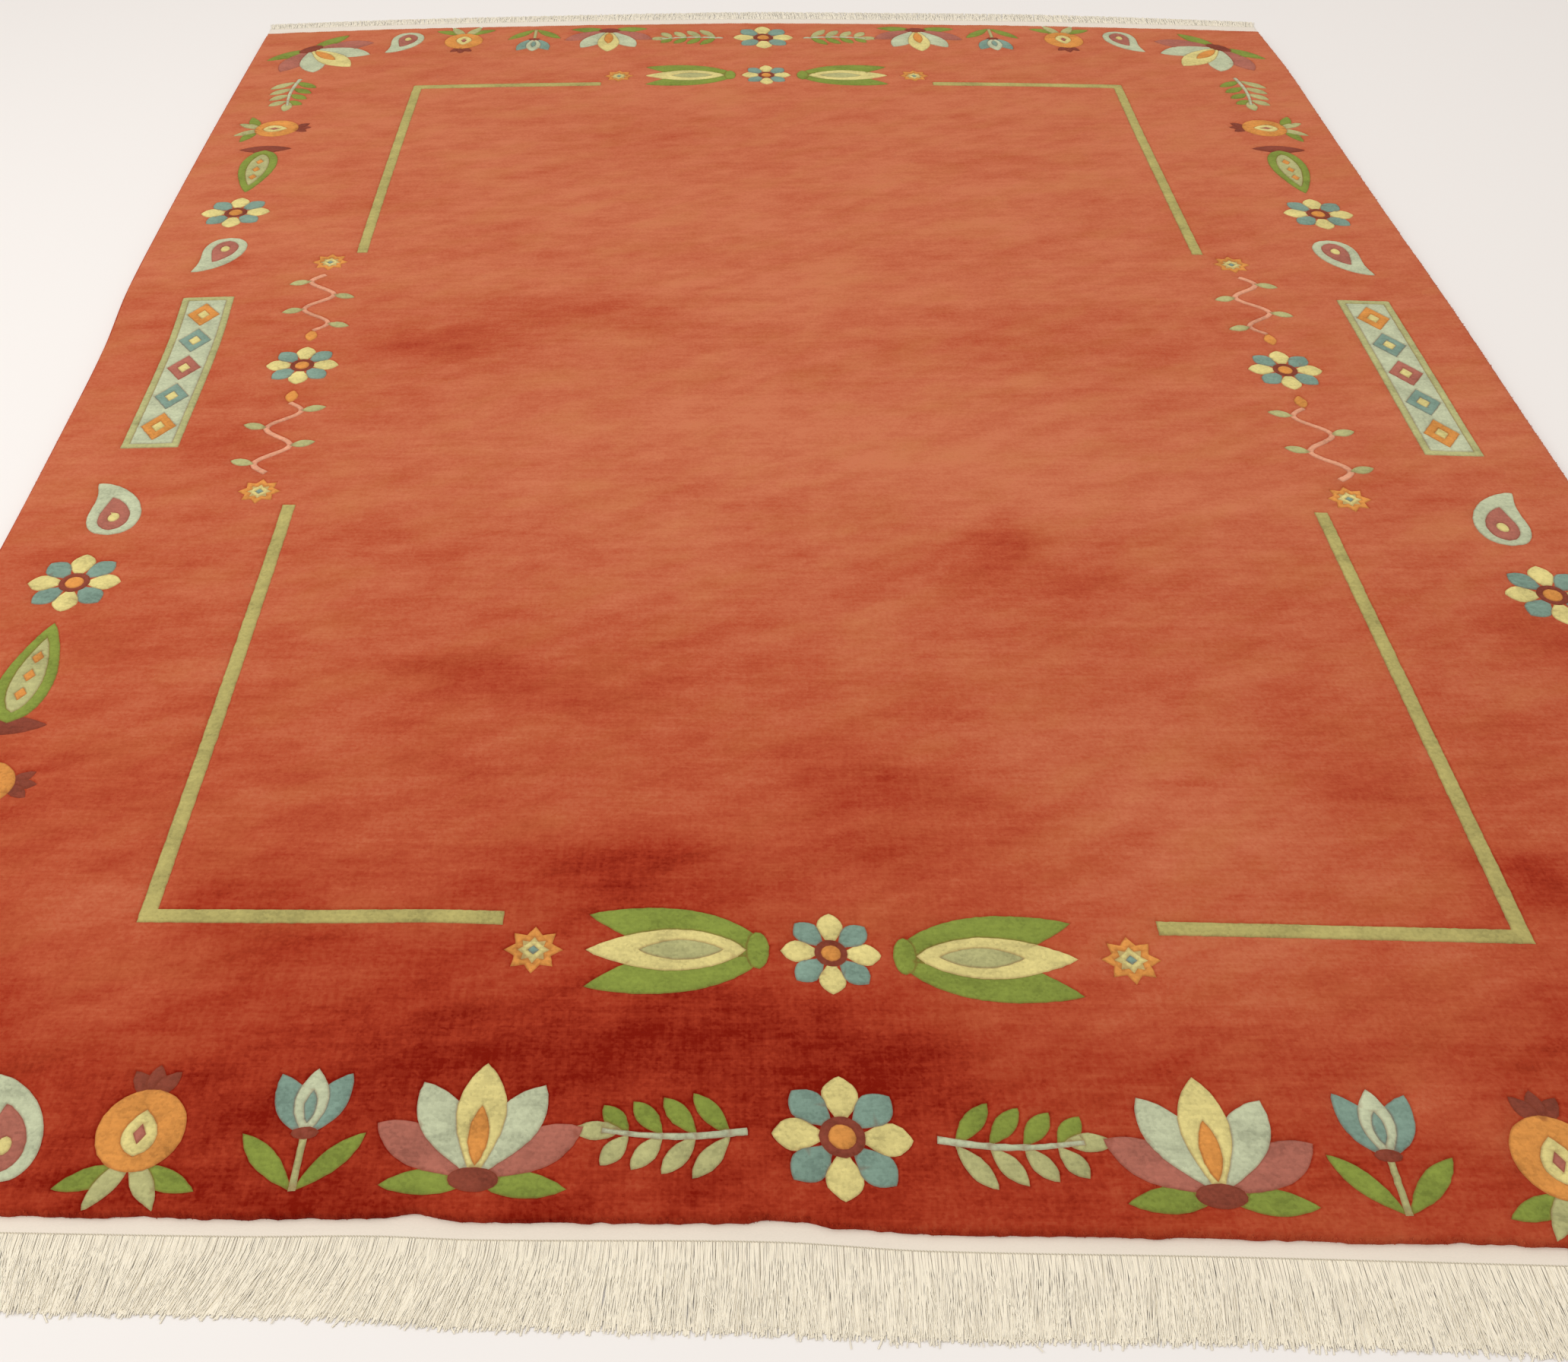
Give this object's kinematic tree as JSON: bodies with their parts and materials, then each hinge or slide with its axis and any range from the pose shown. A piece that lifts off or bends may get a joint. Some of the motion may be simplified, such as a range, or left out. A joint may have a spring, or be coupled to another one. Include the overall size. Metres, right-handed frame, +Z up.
{
  "type": "nepalese rug",
  "caption": "Flat rectangular hand-knotted wool rug with a carved green guard stripe, plain-woven end webs and a cotton fringe at both ends.",
  "frame": {"origin": "on the floor under the middle of the rug's box, fringes included", "axes": "+Z up out of the pile, +Y along the rug to its far end, +X across it to the right"},
  "size_m": [2.5221, 3.586, 0.0145],
  "materials": {
    "pile_wool": "cut pile, matt",
    "warp_cotton": "loose yarn, matt"
  },
  "bodies": {
    "root": {"woven_cloth": "pile_wool", "fringe_near": "warp_cotton", "fringe_far": "warp_cotton"}
  },
  "joints": []
}
